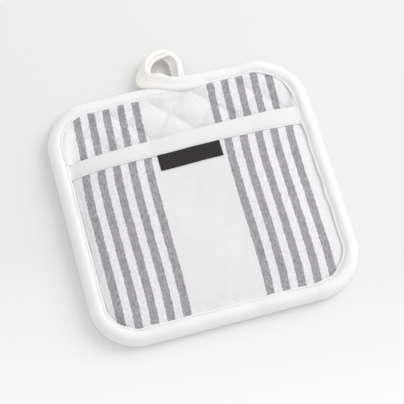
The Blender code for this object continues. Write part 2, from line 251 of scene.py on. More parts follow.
# Section of the strip folded double: the fold, a lip that is thicker with the turned-in edge,
# down the slit between the layers, and the other lip. Columns: share of the half width, share of
# the half thickness.
LOOP_HALF_SECTION = (
    (-1.0, 0.0), (-0.98, 0.34), (-0.91, 0.62), (-0.78, 0.75), (-0.55, 0.77), (-0.15, 0.73),
    (0.2, 0.74), (0.5, 0.86), (0.76, 1.0), (0.92, 0.9), (0.99, 0.62), (1.0, 0.38), (0.97, 0.16),
    (0.92, 0.05), (0.86, 0.02), (0.74, 0.02), (0.5, 0.02), (0.26, 0.0),
)
LOOP_VALLEY_DEPTH = 0.0006
LOOP_VALLEY_AT = -0.15
LOOP_VALLEY_HALF_WIDTH = 0.30
LOOP_VALLEY_ROWS = (1.5, 6.5)

# Rings along a stitch. Columns: place along it from -1 to 1, share of the thread's radius.
STITCH_RINGS = ((-1.0, 0.35), (-0.7, 0.85), (0.0, 1.0), (0.7, 0.85), (1.0, 0.35))
STITCH_SIDES = 6
STITCH_PITCH = 0.0030
STITCH_LENGTH = 0.0022
STITCH_RISE = 0.45
STITCH_BOW = 0.75
THREAD = 0.00040
QUILTING_THREAD = 0.00026
# Lines that the stitches follow.
BINDING_LINE_POINTS = 900
BINDING_LINE_INSET = 0.0109
BINDING_LINE_LOW = 0.00950
BINDING_LINE_SHARE = 0.70
TAPE_LINE_POINTS = 300
TAPE_LINE_REACH = 0.0935
TAPE_LINE_FROM_EDGE = 0.0012
TAPE_LINE_HEIGHT = 0.00082
QUILT_LINE_POINTS = 80
QUILT_LINE_FEWEST = 8
QUILT_LINE_REACH = (-0.05, 0.03)
QUILT_LINES_A_SIDE = 4
QUILT_LINE_HEIGHT = 0.0001
QUILT_LINE_FROM_RIM = 0.002
QUILT_LINE_FROM_MOUTH = 0.001

# -------- patterns and colours

# Where the stripes of each cloth lie: the x of the pattern's middle at one y, its lean (x for
# each y), how far the cloth is pulled aside at that length from there, half the plain middle,
# the pitch and width of the stripes, and the colours in the plain middle and between the stripes.
POCKET_STRIPES = dict(
    middle_x=-0.0016, middle_y=-0.0300, lean=0.0, pull=0.00150, pull_length=0.0660,
    plain_half=0.0293, pitch=0.01265, width=0.00680,
    plain=(0.790, 0.788, 0.790), between=(0.800, 0.788, 0.818),
)
STRIP_STRIPES = dict(
    middle_x=-0.0008, middle_y=0.0540, lean=0.0580, pull=0.0, pull_length=0.0660,
    plain_half=0.0280, pitch=0.01220, width=0.0063,
    plain=(0.822, 0.820, 0.820), between=(0.822, 0.812, 0.838),
)
STRIPES_IN_A_BAND = 5
BAND_STOPS_SHORT = 0.2
STRIPE_SOFTNESS = 0.00040
STRIPED_ABOVE_Z = 0.0050
STRIPED_SOFTNESS_Z = 0.0004
# Where the loop's painted warm bounce light lies: above a line that rises to the left, with this
# softness.
PAINTED_BOUNCE_SLOPE = 0.9
PAINTED_BOUNCE_FROM = 0.1070
PAINTED_BOUNCE_SOFTNESS = 0.0080

STRIPE_GREY = (0.359, 0.341, 0.366)
BINDING_WHITE = (0.880, 0.879, 0.878)
TAPE_WHITE = (0.820, 0.819, 0.818)
# Warmer, lighter colour of the loop's ring: painted warm bounce light in its shaded walls.
LOOP_PAINTED_BOUNCE = (0.940, 0.912, 0.868)
LABEL_BLACK = (0.0155, 0.0120, 0.0140)
THREAD_WHITE = (0.86, 0.86, 0.86)
# Floor colours, far and near: the lighter front is painted light.
FLOOR_FAR = (0.800, 0.800, 0.800)
FLOOR_NEAR = (0.905, 0.905, 0.905)
FLOOR_NEAR_FROM = 0.04
FLOOR_NEAR_OVER = 0.12
FLOOR_NEAR_ROUNDING = 0.2

# Noise in each cloth: length of its waves, detail, stretch in x, y and z, turn.
EDGE_THREADS = (0.0015, 1.0, (1.0, 1.3, 1.0))
EDGE_WANDER = (0.010, 1.0)
YARN_KNOTS = (0.0016, 1.0, (1.0, 1.3, 1.0))
YARN_STREAKS = (0.0009, 1.0, (1.0, 4.0, 1.0), math.radians(-12.0))
BLOTCHES = (0.009, 3.0)
# Noise of the painted glints, a painted highlight on the quilted stripes.
PAINTED_GLINTS = (0.0024, 3.0)
CREASE_DRIFT = (0.0055, 3.0)
CREASE_PATCHES = (0.0065, 2.0)
TAPE_YARN = (0.0008, 2.0, (4.0, 1.0, 1.0))
TAPE_BLOTCHES = (0.010, 3.0)
LABEL_GRAIN = (0.0006, 2.0, (1.0, 5.0, 1.0))
FLOOR_GRAIN = (0.004, 2.0)
# How far the first two move a stripe's edge.
EDGE_THREADS_BY = 0.0013
EDGE_WANDER_BY = 0.0008
# How much knots, streaks and blotches change the dye and the white, and the first two the relief.
DYE_KNOTS, DYE_STREAKS, DYE_BLOTCHES = 0.55, 1.00, 0.25
WHITE_KNOTS, WHITE_STREAKS, WHITE_BLOTCHES = 0.26, 0.34, 0.05
RELIEF_KNOTS, RELIEF_STREAKS = 0.8, 0.4
# Share of that in the plain middle, and of the colour between the stripes.
PLAIN_MOTTLE = 0.1
BETWEEN_SHARE = 0.8
# The painted glints show where their noise rises above this edge, within this softness.
PAINTED_GLINTS_ABOVE = (0.62, 0.12)
# Pitches of the weave and of the ribs, and their heights in the relief, from 0 to 1.
WEAVE_PITCH, WEAVE_HEIGHT = 0.0008, 0.3
TAPE_RIB_PITCH, TAPE_RIB_HEIGHT = 0.00055, 0.25
LABEL_RIB_PITCH, LABEL_RIB_HEIGHT = 0.00045, 0.3
# What yarn, blotches, grain and rib do to the tint, and yarn and grain to the relief.
TAPE_TINT_YARN, TAPE_TINT_BLOTCHES, TAPE_RELIEF_YARN = 0.04, 0.03, 0.6
LABEL_TINT_GRAIN, LABEL_TINT_RIB, LABEL_RELIEF_GRAIN = 0.5, 0.3, 0.4
TWIST_PITCH, TWIST_TINT, TWIST_LEAST = 0.0006, 0.08, 0.94
# Creases too fine for the mesh, which the material raises across the channels.
CREASE_LENGTH = 0.0027
CREASE_REACH = 0.0046
CREASE_STRENGTH = 0.75
CREASE_DRIFT_BY = 0.0110
CREASE_PATCHES_ABOVE = (0.52, 0.25)

CLOTH_SPECULAR = 0.25
SHEEN_ROUGHNESS = 0.6
# How much light soaks into each cloth, and how deep; then how deep in red, green and blue.
NO_GLOW = (0.0, 0.001)
BINDING_GLOW = (0.2, 0.003)
LOOP_GLOW = (0.5, 0.0015)
GLOW_COLOUR = (1.0, 0.95, 0.9)

# -------- camera and lights

CAMERA_AZIMUTH = math.radians(-15.3)
CAMERA_ELEVATION = math.radians(67.0)
CAMERA_DISTANCE = 1.175
CAMERA_TARGET = Vector((0.0007, -0.0010, 0.0))
CAMERA_LENS = 132.3
SENSOR = 36.0
CLIP_START = 0.01

KEY_AZIMUTH = math.radians(13.0)
KEY_ELEVATION = math.radians(37.0)
KEY_DISTANCE = 3.00
KEY_SIZE = 1.90
KEY_POWER = 41.0
SKY_STRENGTH = 0.83
FLOOR_SIZE = 6.0
FLOOR_Z = -0.00005


# -------- arrays

def ramp(value, start, end):
    """Rises from 0 at the start to 1 at the end, along 3v^2 - 2v^3."""
    value = np.clip((value - start) / (end - start), 0.0, 1.0)
    return value * value * (3.0 - 2.0 * value)


def hump(distance, half_width):
    """A soft ridge: e to the minus (distance / half width) squared."""
    return np.exp(-((distance / half_width) ** 2))


def unevenness(x, y, size, length, seed, waves=7):
    """Smooth noise of that root mean square size: a sum of sine waves in all directions."""
    draws = np.random.default_rng(seed)
    turn = draws.uniform(0.0, 2.0 * math.pi, waves)
    lengths = length * draws.uniform(*WAVE_LENGTHS, waves)
    phase = draws.uniform(0.0, 2.0 * math.pi, waves)
    along = np.multiply.outer(x, np.cos(turn)) + np.multiply.outer(y, np.sin(turn))
    total = np.sin(2.0 * math.pi * along / lengths + phase).sum(axis=-1)
    return size * (total * math.sqrt(2.0 / waves))


def ring_unevenness(places, size, length, seed, waves=5):
    """The same along the outline, where it meets itself: sines with a whole number of waves."""
    draws = np.random.default_rng(seed)
    counts = np.round(OUTLINE_LENGTH / (length * draws.uniform(*WAVE_LENGTHS, waves)))
    phase = draws.uniform(0.0, 2.0 * math.pi, waves)
    turn = 2.0 * math.pi * np.multiply.outer(places / OUTLINE_LENGTH, counts) + phase
    return size * (np.sin(turn).sum(axis=-1) * math.sqrt(2.0 / waves))


def smooth_rows(rows, steps, closed=False):
    """The smooth (Catmull-Rom) curve through the rows of a table, read at equal steps."""
    rows = np.asarray(rows, float)
    if closed:
        padded = np.concatenate([rows[-1:], rows, rows[:2]])
    else:
        padded = np.concatenate([[2 * rows[0] - rows[1]], rows, [2 * rows[-1] - rows[-2]]])
    share = (np.arange(steps) / steps)[None, :, None]
    before, start, end, after = (padded[i:len(padded) - 3 + i, None] for i in range(4))
    linear = end - before
    square = 2 * before - 5 * start + 4 * end - after
    cubic = 3 * start - before - 3 * end + after
    curve = start + 0.5 * (linear * share + square * share**2 + cubic * share**3)
    curve = curve.reshape(-1, rows.shape[1])
    return curve if closed else np.concatenate([curve, rows[-1:]])


def read_section(table):
    """The columns of a closed section's table, smoothed, each as one row of numbers."""
    return smooth_rows(table, SECTION_STEPS, closed=True).T[:, None, :]


def points_at(x, y, z):
    """Points from arrays, or numbers, whose shapes fit one another."""
    return np.stack(np.broadcast_arrays(x, y, z), axis=-1)


def unit(vectors):
    return vectors / np.linalg.norm(vectors, axis=-1, keepdims=True)


def run_length(points, axis):
    """Length run from the first point, along one axis of a grid of points."""
    steps = np.linalg.norm(np.diff(points, axis=axis), axis=-1)
    zero = np.zeros_like(np.take(steps, [0], axis=axis))
    return np.concatenate([zero, np.cumsum(steps, axis=axis)], axis=axis)


# -------- meshes

def grid_faces(rows, columns, wrap_rows=False, wrap_columns=False):
    """Quads between neighbours on a grid of points, closed round either way when wrapped."""
    index = np.arange(rows * columns).reshape(rows, columns)
    if wrap_rows:
        index = np.concatenate([index, index[:1]])
    if wrap_columns:
        index = np.concatenate([index, index[:, :1]], axis=1)
    corners = (index[:-1, :-1], index[:-1, 1:], index[1:, 1:], index[1:, :-1])
    return np.stack(corners, axis=-1).reshape(-1, 4)


def border(rows, columns):
    """Indices round the edge of a grid of points, anticlockwise from its first point."""
    index = np.arange(rows * columns).reshape(rows, columns)
    return np.concatenate([index[0, :-1], index[:-1, -1], index[-1, :0:-1], index[:0:-1, 0]])


def band_faces(first, second):
    """Quads between two closed rings of indices that have as many points."""
    return np.stack([first, np.roll(first, -1), np.roll(second, -1), second], axis=1)


def turn_outwards(mesh):
    shape = bmesh.new()
    shape.from_mesh(mesh)
    bmesh.ops.recalc_face_normals(shape, faces=shape.faces[:])
    shape.to_mesh(mesh)
    shape.free()


def add_to_scene(name, data):
    thing = bpy.data.objects.new(name, data)
    bpy.context.scene.collection.objects.link(thing)
    return thing


def make_piece(name, points, quads, material, caps=(), cloth_map=None):
    """One mesh object of quads and end caps, turned outwards and shaded smooth.

    cloth_map gives each point its place on the cloth, in metres along and across it.
    """
    mesh = bpy.data.meshes.new(name)
    sizes = np.array([4] * len(quads) + [len(cap) for cap in caps])
    corners = np.concatenate([np.asarray(quads).ravel(), *caps]).astype(np.int32)
    starts = np.concatenate([[0], np.cumsum(sizes)[:-1]]).astype(np.int32)
    mesh.vertices.add(len(points))
    mesh.vertices.foreach_set("co", np.asarray(points, np.float32).ravel())
    mesh.loops.add(len(corners))
    mesh.loops.foreach_set("vertex_index", corners)
    mesh.polygons.add(len(sizes))
    mesh.polygons.foreach_set("loop_start", starts)
    mesh.update(calc_edges=True)
    mesh.validate()
    if cloth_map is not None:
        layer = mesh.uv_layers.new(name="cloth")
        layer.uv.foreach_set("vector", np.asarray(cloth_map, np.float32)[corners].ravel())
    turn_outwards(mesh)
    mesh.shade_smooth()
    mesh.materials.append(material)
    return add_to_scene(name, mesh)


def closed_sheet(name, top, thickness, material):
    """A grid of top points, the same grid lower by the thickness, and a band round the edge."""
    rows, columns = top.shape[:2]
    top = top.reshape(-1, 3)
    bottom = top - np.array([0.0, 0.0, thickness])
    edge = border(rows, columns)
    faces = grid_faces(rows, columns)
    quads = np.concatenate([faces, faces + len(top), band_faces(edge, edge + len(top))])
    return make_piece(name, np.concatenate([top, bottom]), quads, material)


def swept(name, stations, material, closed_along):
    """A closed section carried through stations: a grid of stations by points round the section."""
    count, around = stations.shape[:2]
    quads = grid_faces(count, around, wrap_rows=closed_along, wrap_columns=True)
    along = run_length(stations, 0).mean(axis=1, keepdims=True) + np.zeros((count, around))
    across = run_length(stations, 1)
    cloth_map = np.stack([along, across], axis=-1).reshape(-1, 2)
    caps = ()
    if not closed_along:
        first = np.arange(around)
        caps = (first, first + (count - 1) * around)
    points = stations.reshape(-1, 3)
    return make_piece(name, points, quads, material, caps, cloth_map)


def bake_modifiers(piece):
    """Replaces the piece's mesh by its evaluated one, and drops the modifiers."""
    graph = bpy.context.evaluated_depsgraph_get()
    baked = bpy.data.meshes.new_from_object(piece.evaluated_get(graph))
    piece.modifiers.clear()
    piece.data = baked


def read_points(piece):
    points = np.empty(len(piece.data.vertices) * 3, np.float32)
    piece.data.vertices.foreach_get("co", points)
    return points.reshape(-1, 3).astype(float)


def write_points(piece, points):
    piece.data.vertices.foreach_set("co", np.asarray(points, np.float32).ravel())
    piece.data.update()


# -------- the outline

def outline_knots():
    """Where the outline changes between a side and a corner, anticlockwise from bottom right.

    Columns: length run so far, x and y of the centre of curvature, radius, direction outwards.
    """
    centres = [(a * (WIDTH / 2 - r), b * (HEIGHT / 2 - r), r) for a, b, r in CORNERS]
    rows = []
    run = 0.0
    for turn, (x, y, radius) in enumerate(centres):
        start = (turn - 1) * math.pi / 2
        rows.append((run, x, y, radius, start))
        run += radius * math.pi / 2
        rows.append((run, x, y, radius, start + math.pi / 2))
        next_x, next_y = centres[(turn + 1) % 4][:2]
        run += abs(next_x - x) if turn % 2 else abs(next_y - y)
    first = rows[0]
    rows.append((run, *first[1:4], first[4] + 2.0 * math.pi))
    return np.array(rows)


OUTLINE = outline_knots()
OUTLINE_LENGTH = OUTLINE[-1, 0]


def uneven(x, y):
    """Moves points near the top edge by the edge's dip and lean at their x."""
    dip = TOP_DIP * hump(x - TOP_DIP_X, TOP_DIP_WIDTH)
    return x, y + ramp(y, *TOP_UNEVEN_Y) * (TOP_LEAN * x - dip)


def on_outline(places, inset):
    """x and y at those lengths along the outline, taken in by the inset.

    The centre of curvature, the radius and the direction outwards go evenly from knot to knot, so
    a side keeps its direction and a corner keeps its centre; the point is centre + (radius -
    inset) x direction.
    """
    x, y, radius, way = (np.interp(places, OUTLINE[:, 0], OUTLINE[:, i]) for i in range(1, 5))
    reach = radius - inset
    return uneven(x + reach * np.cos(way), y + reach * np.sin(way))


def way_outwards(places):
    """Direction outwards at those lengths along the outline, in radians from +X."""
    return np.interp(places, OUTLINE[:, 0], OUTLINE[:, 4])


def corner_share(places):
    """0 along the sides, rising to 1 half way round each corner: (sine of twice the turn)^2."""
    return np.sin(2.0 * way_outwards(places)) ** 2


def full_share(way):
    """1 where the binding is fullest, 0 on the opposite side: (1 - cosine of the turn)^2 / 4."""
    return (0.5 - 0.5 * np.cos(way - FULL_LEAST_AT)) ** 2


def fullness(places, inset):
    """What the fuller inner half adds to the binding's height there."""
    return FULLNESS * full_share(way_outwards(places)) * ramp(inset, *FULL_INSET)


def past_corner_centres(x, y):
    """How far a point lies beyond the centres of the corners, in x and in y, negative inside."""
    return np.abs(x) - WIDTH / 2 + MEAN_CORNER_RADIUS, np.abs(y) - HEIGHT / 2 + MEAN_CORNER_RADIUS


def inset_of(x, y):
    """How far a point lies inside the outline, with one mean corner radius."""
    beside, above = past_corner_centres(x, y)
    outside = np.hypot(np.maximum(beside, 0.0), np.maximum(above, 0.0))
    inside = np.minimum(np.maximum(beside, above), 0.0)
    return MEAN_CORNER_RADIUS - outside - inside


def rim_lift(x, y):
    """How far the cloth beside the binding rises towards it: a hump over the inset."""
    beside, above = (np.maximum(reach, 0.0) for reach in past_corner_centres(x, y))
    way = np.arctan2(np.sign(y) * above, np.sign(x) * beside)
    near = hump(inset_of(x, y) - RIM_LIFT_INSET, RIM_LIFT_HALF_WIDTH)
    quilted = y > mouth_y(x)
    share = np.where(quilted, 1.0, RIM_LIFT_PANEL_SHARE)
    own = RIM_LIFT * (1.0 - RIM_LIFT_FALL * ramp(x, *RIM_LIFT_FALLS_X))
    return near * (FULLNESS * share * full_share(way) + np.where(quilted, own, 0.0))


def side_line(side, inset, rows_in_corner, rows_straight, top=None):
    """Points up the left (-1) or right (+1) side of the outline taken in by the inset.

    They turn through the bottom corner and climb to y = top, or through the top corner too.
    """
    radius = {corner[:2]: corner[2] for corner in CORNERS}
    low, high = radius[side, -1], radius[side, 1]
    turn = np.linspace(0.0, math.pi / 2, rows_in_corner + 1)
    x = WIDTH / 2 - low + (low - inset) * np.sin(turn)
    y = low - HEIGHT / 2 - (low - inset) * np.cos(turn)
    end = HEIGHT / 2 - high if top is None else top
    climb = np.linspace(y[-1], end, rows_straight + 1)[1:]
    x = np.concatenate([x, np.full(len(climb), WIDTH / 2 - inset)])
    y = np.concatenate([y, climb])
    if top is None:
        x = np.concatenate([x, WIDTH / 2 - high + (high - inset) * np.cos(turn[1:])])
        y = np.concatenate([y, HEIGHT / 2 - high + (high - inset) * np.sin(turn[1:])])
    return np.stack([side * x, y], axis=1)


def ruled(left, right, columns, crowding=0.0):
    """Rows of points, each straight from the left line to the right line.

    Crowding mixes even shares with (1 - cosine) / 2, which puts more columns near both sides.
    """
    even = np.linspace(0.0, 1.0, columns + 1)[None, :, None]
    share = even + crowding * (0.5 - 0.5 * np.cos(math.pi * even) - even)
    return left[:, None] * (1.0 - share) + right[:, None] * share


# -------- heights

def mouth_y(x):
    """The free edge of the pocket panel, which is sewn on a little askew."""
    return MOUTH_Y + MOUTH_TILT * x


def panel_height(x, y):
    """Top of the pocket panel: a power of a quarter sine from each side and from the bottom."""
    rise = ramp(inset_of(x, y), *PANEL_RISE_INSET)
    for reach in (WIDTH / 2 - np.abs(x), y + HEIGHT / 2):
        share = np.clip((reach - PANEL_RISE_START) / PANEL_RISE_LENGTH, 0.0, 1.0)
        rise = rise * np.sin(math.pi / 2 * share) ** PANEL_RISE_POWER
    return PAD_RIM_TOP + GAP + PANEL_CLOTH + PANEL_RISE * rise


def free_panel_height(x, y):
    """The panel's top with the long waves of cloth that lies loose, away from the seam."""
    swell = unevenness(x, y, *LOOSE_WAVES) + unevenness(x, y, *LOOSE_RIPPLES)
    return panel_height(x, y) + ramp(inset_of(x, y), *LOOSE_INSET) * swell


def seam_slope(x, y):
    """How far the panel slopes down to the seam beside the binding, most at both sides."""
    added = np.where(x < 0.0, *SEAM_DIP_ADDED) * ramp(np.abs(x), *SEAM_DIP_ADDED_X)
    share = SEAM_DIP_AT_BOTTOM + added
    return SEAM_DIP * share * (1.0 - ramp(inset_of(x, y), *SEAM_DIP_INSET))


def soft_panel_height(x, y):
    """The panel's top with its slope to the seam, and what the stitches do beside the binding.

    The cloth is tucked under the binding and has a shallow groove beside it, both deepest at the
    left. Short gathers die away from the seam.
    """
    inset = inset_of(x, y)
    left = TUCK_LEAST + (1.0 - TUCK_LEAST) * ramp(x, *TUCK_GROWS_X)
    patchy = np.clip(TUCK_MEAN + unevenness(x, y, *TUCK_PATCHES), *TUCK_RANGE)
    tuck = SEAM_TUCK * (1.0 - ramp(inset, *SEAM_TUCK_INSET))
    groove = SEAM_GROOVE_DEPTH * hump(inset - SEAM_GROOVE_INSET, SEAM_GROOVE_HALF_WIDTH)
    gather = unevenness(x, y, *GATHERS) * ramp(inset, *GATHER_START_INSET)
    gather = gather * np.exp(-np.maximum(inset - SEAM_GROOVE_INSET, 0.0) / GATHER_REACH)
    height = free_panel_height(x, y) - seam_slope(x, y) + rim_lift(x, y)
    return height - left * patchy * (tuck + groove) + gather


def quilt_lines(x, y):
    """Distance to the nearest channel and place along it, for each of the two directions."""
    right = (x - QUILT_CROSSING[0] + y - QUILT_CROSSING[1]) / math.sqrt(2.0)
    left = (x - QUILT_CROSSING[0] - y + QUILT_CROSSING[1]) / math.sqrt(2.0)
    from_right = np.abs(right - QUILT_SPACING * np.round(right / QUILT_SPACING))
    from_left = np.abs(left - QUILT_SPACING * np.round(left / QUILT_SPACING))
    return (from_right, left), (from_left, right)


def extra_at_pocket(y):
    """How much higher the binding is beside the pocket than beside the quilted strip."""
    return BINDING_EXTRA_AT_POCKET * (1.0 - ramp(y, *BINDING_LOWERS_Y))


# -------- shader arithmetic

def both_ways(operation):
    """An operator's two methods: with the other value second, and reflected, with it first."""
    def forward(wire, other):
        return wire.finish.math(operation, wire, other)

    def reflected(wire, other):
        return wire.finish.math(operation, other, wire)

    return forward, reflected


class Wire:
    """An output socket. Arithmetic on it adds Math nodes; plain numbers go on their sockets."""

    __add__, __radd__ = both_ways("ADD")
    __sub__, __rsub__ = both_ways("SUBTRACT")
    __mul__, __rmul__ = both_ways("MULTIPLY")
    __truediv__, __rtruediv__ = both_ways("DIVIDE")

    def __init__(self, finish, socket):
        self.finish = finish
        self.socket = socket

    def size(self):
        return self.finish.math("ABSOLUTE", self)

    def part(self):
        return self.finish.math("FRACT", self)

    def wave(self, length):
        """Sine of the value, one full wave in each length."""
        return self.finish.math("SINE", self * (2.0 * math.pi / length))

    def above(self, edge, softness):
        """0 below the edge, 1 above it, with a straight ramp as wide as the softness."""
        return self.finish.math("ADD", (self - edge) / softness, 0.5, clamp=True)


class Finish:
    """One material, and the nodes that work out its colour and its relief."""

    def __init__(self, name, roughness, sheen=0.0, glow=NO_GLOW, on_cloth_map=False):
        self.material = bpy.data.materials.new(name)
        self.material.use_nodes = True
        self.tree = self.material.node_tree
        self.shader = self.tree.nodes["Principled BSDF"]
        constants = {
            "Roughness": roughness,
            "Specular IOR Level": CLOTH_SPECULAR,
            "Sheen Weight": sheen,
            "Sheen Roughness": SHEEN_ROUGHNESS,
            "Subsurface Weight": glow[0],
            "Subsurface Radius": GLOW_COLOUR,
            "Subsurface Scale": glow[1],
        }
        for socket, value in constants.items():
            self.shader.inputs[socket].default_value = value
        if on_cloth_map:
            self.place = self.node("ShaderNodeUVMap", {"uv_map": "cloth"}, {})
        else:
            self.place = self.object_place()
        self.x, self.y, self.z = self.axes_of(self.place)

    def node(self, kind, settings, values, output=0):
        """Adds a node: its settings first, then the value or link of each named socket."""
        made = self.tree.nodes.new(kind)
        for key, setting in settings.items():
            setattr(made, key, setting)
        for key, value in values.items():
            if isinstance(value, Wire):
                self.tree.links.new(value.socket, made.inputs[key])
            else:
                made.inputs[key].default_value = value
        return Wire(self, made.outputs[output])

    def object_place(self):
        return self.node("ShaderNodeTexCoord", {}, {}, "Object")

    def axes_of(self, place):
        return [self.node("ShaderNodeSeparateXYZ", {}, {0: place}, i) for i in range(3)]

    def math(self, operation, *values, clamp=False):
        settings = {"operation": operation, "use_clamp": clamp}
        return self.node("ShaderNodeMath", settings, dict(enumerate(values)))

    def noise(self, wave, detail=2.0, stretch=(1.0, 1.0, 1.0), turn=0.0):
        """Noise of about 0 to 1, with waves of that length, times the stretch on each axis."""
        size = tuple(1.0 / (wave * share) for share in stretch)
        values = {"Vector": self.place, "Scale": size, "Rotation": (0.0, 0.0, turn)}
        place = self.node("ShaderNodeMapping", {"vector_type": "POINT"}, values)
        values = {"Vector": place, "Scale": 1.0, "Detail": detail}
        return self.node("ShaderNodeTexNoise", {}, values)

    def swing(self, *kind):
        """Noise of that kind, from about -0.5 to 0.5."""
        return self.noise(*kind) - 0.5

    def mix(self, share, first, second):
        """The first colour where the share is 0, the second where it is 1.

        A Mix node takes its factor at socket 0 and its colours at 6 and 7, and gives one at 2.
        """
        first, second = (c if isinstance(c, Wire) else (*c, 1.0) for c in (first, second))
        values = {0: share, 6: first, 7: second}
        return self.node("ShaderNodeMix", {"data_type": "RGBA"}, values, 2)

    def shade(self, colour, share):
        """The colour times a grey that varies over the surface."""
        grey = self.node("ShaderNodeCombineXYZ", {}, {0: share, 1: share, 2: share})
        return self.node("ShaderNodeVectorMath", {"operation": "MULTIPLY"}, {0: colour, 1: grey})

    def close(self, colour, relief, depth):
        """Colours the surface and raises it by relief (0 to 1) times depth in metres."""
        self.tree.links.new(colour.socket, self.shader.inputs["Base Color"])
        values = {"Height": relief, "Strength": 1.0, "Distance": depth}
        bump = self.node("ShaderNodeBump", {}, values)
        self.tree.links.new(bump.socket, self.shader.inputs["Normal"])
        return self.material


# -------- finishes

def striped_cotton(name, stripes, painted_glint_share, quilted=False):
    """Plain-woven white cotton with grey stripes whose edges wander by a thread or so.

    The distance from the pattern's middle line, less the plain half, over the pitch counts the
    stripes; its fraction below width / pitch is grey. The middle line leans, and is pulled aside
    by pull x (length from the middle / pull length)^5. Only the upper face is striped. Knots,
    streaks and blotches darken and lighten both the dyed grey and the white. Painted glints, a
    painted highlight of puckered cloth, lighten the grey in small spots, and quilted cloth has fine
    creases across its channels.
    """
    cloth = Finish(name, roughness=0.92, sheen=0.05)
    ragged = cloth.swing(*EDGE_THREADS) * EDGE_THREADS_BY
    wander = cloth.swing(*EDGE_WANDER) * EDGE_WANDER_BY
    from_middle_y = cloth.y - stripes["middle_y"]
    pulled = from_middle_y * (1.0 / stripes["pull_length"])
    pulled = pulled * pulled * pulled * pulled * pulled * stripes["pull"]
    middle = from_middle_y * stripes["lean"] + stripes["middle_x"] + pulled
    from_middle = (cloth.x - middle + ragged + wander).size() - stripes["plain_half"]
    pitch, width = stripes["pitch"], stripes["width"]
    count = from_middle / pitch
    step = count.part()
    softness = STRIPE_SOFTNESS / pitch
    stripe = step.above(softness, softness) * (1.0 - step.above(width / pitch, softness))
    band_end = STRIPES_IN_A_BAND - BAND_STOPS_SHORT
    band = count.above(0.0, softness) * (1.0 - count.above(band_end, softness))
    band = band * cloth.z.above(STRIPED_ABOVE_Z, STRIPED_SOFTNESS_Z)
    knots = cloth.swing(*YARN_KNOTS)
    streaks = cloth.swing(*YARN_STREAKS)
    blotches = cloth.swing(*BLOTCHES)
    # Painted glints: a painted highlight of puckered cloth, light spots added to the grey stripes.
    painted_glint = cloth.noise(*PAINTED_GLINTS).above(*PAINTED_GLINTS_ABOVE) * painted_glint_share
    dye_and_painted_glint = knots * DYE_KNOTS + streaks * DYE_STREAKS + blotches * DYE_BLOTCHES + painted_glint + 1.0
    mottle = knots * WHITE_KNOTS + streaks * WHITE_STREAKS
    mottle = mottle * (band * (1.0 - PLAIN_MOTTLE) + PLAIN_MOTTLE)
    bleach = mottle + blotches * WHITE_BLOTCHES + 1.0
    white = cloth.mix(band * BETWEEN_SHARE, stripes["plain"], stripes["between"])
    white = cloth.shade(white, bleach)
    colour = cloth.mix(stripe * band, white, cloth.shade(STRIPE_GREY, dye_and_painted_glint))
    weave = cloth.x.wave(WEAVE_PITCH) * cloth.y.wave(WEAVE_PITCH) * WEAVE_HEIGHT
    relief = weave + streaks * RELIEF_STREAKS + knots * RELIEF_KNOTS + 0.5
    if quilted:
        relief = relief + quilting_creases(cloth) * CREASE_STRENGTH
    return cloth.close(colour, relief, depth=0.00012)


def quilting_creases(cloth):
    """Fine creases across each channel: a sine along it that drifts, and dies away beside it."""
    from_x, from_y = cloth.x - QUILT_CROSSING[0], cloth.y - QUILT_CROSSING[1]
    right = (from_x + from_y) * math.sqrt(0.5)
    left = (from_x - from_y) * math.sqrt(0.5)
    drift = cloth.swing(*CREASE_DRIFT) * CREASE_DRIFT_BY
    strength = cloth.noise(*CREASE_PATCHES).above(*CREASE_PATCHES_ABOVE)
    total = 0.0
    for across, along in ((right, left), (left, right)):
        beside = ((across / QUILT_SPACING + 0.5).part() - 0.5).size() * QUILT_SPACING
        near = 1.0 - beside.above(CREASE_REACH, CREASE_REACH)
        total = (along + drift).wave(CREASE_LENGTH) * near * strength + total
    return total


def cotton_tape(name, colour, glow, painted_bounce=None):
    """Soft white twill tape: fine slanting ribs along the strip, thread noise and faint blotches.

    Painted bounce light, where given, is a warmer and lighter colour on the part of the strip that
    lies up and to the left, the loop's ring: painted warm bounce light in its shaded walls.
    """
    tape = Finish(name, roughness=0.88, sheen=0.08, glow=glow, on_cloth_map=True)
    rib = (tape.x + tape.y).wave(TAPE_RIB_PITCH) * TAPE_RIB_HEIGHT
    yarn = tape.swing(*TAPE_YARN)
    # Painted warm bounce light: the ring is tinted warmer and lighter where its walls lie in shade.
    if painted_bounce:
        x, y, _ = tape.axes_of(tape.object_place())
        share = (y - x * PAINTED_BOUNCE_SLOPE).above(PAINTED_BOUNCE_FROM, PAINTED_BOUNCE_SOFTNESS)
        colour = tape.mix(share, colour, painted_bounce)
    blotches = tape.swing(*TAPE_BLOTCHES)
    tint = tape.shade(colour, yarn * TAPE_TINT_YARN + blotches * TAPE_TINT_BLOTCHES + 1.0)
    return tape.close(tint, rib + yarn * TAPE_RELIEF_YARN + 0.5, depth=0.00009)


def woven_label(name):
    """Dense black label cloth: fine ribs across it, with a slightly lighter selvedge grain."""
    label = Finish(name, roughness=0.62, sheen=0.12, on_cloth_map=True)
    rib = label.x.wave(LABEL_RIB_PITCH) * LABEL_RIB_HEIGHT
    grain = label.swing(*LABEL_GRAIN)
    tint = label.shade(LABEL_BLACK, grain * LABEL_TINT_GRAIN + rib * LABEL_TINT_RIB + 1.0)
    return label.close(tint, rib + grain * LABEL_RELIEF_GRAIN + 0.5, depth=0.00008)


def sewing_thread(name, colour):
    """Twisted thread: a fine slanting wave over its length."""
    thread = Finish(name, roughness=0.75, sheen=0.1)
    twist = (thread.x + thread.y).wave(TWIST_PITCH) * 0.5 + 0.5
    tint = thread.shade(colour, twist * TWIST_TINT + TWIST_LEAST)
    return thread.close(tint, twist, depth=0.00004)


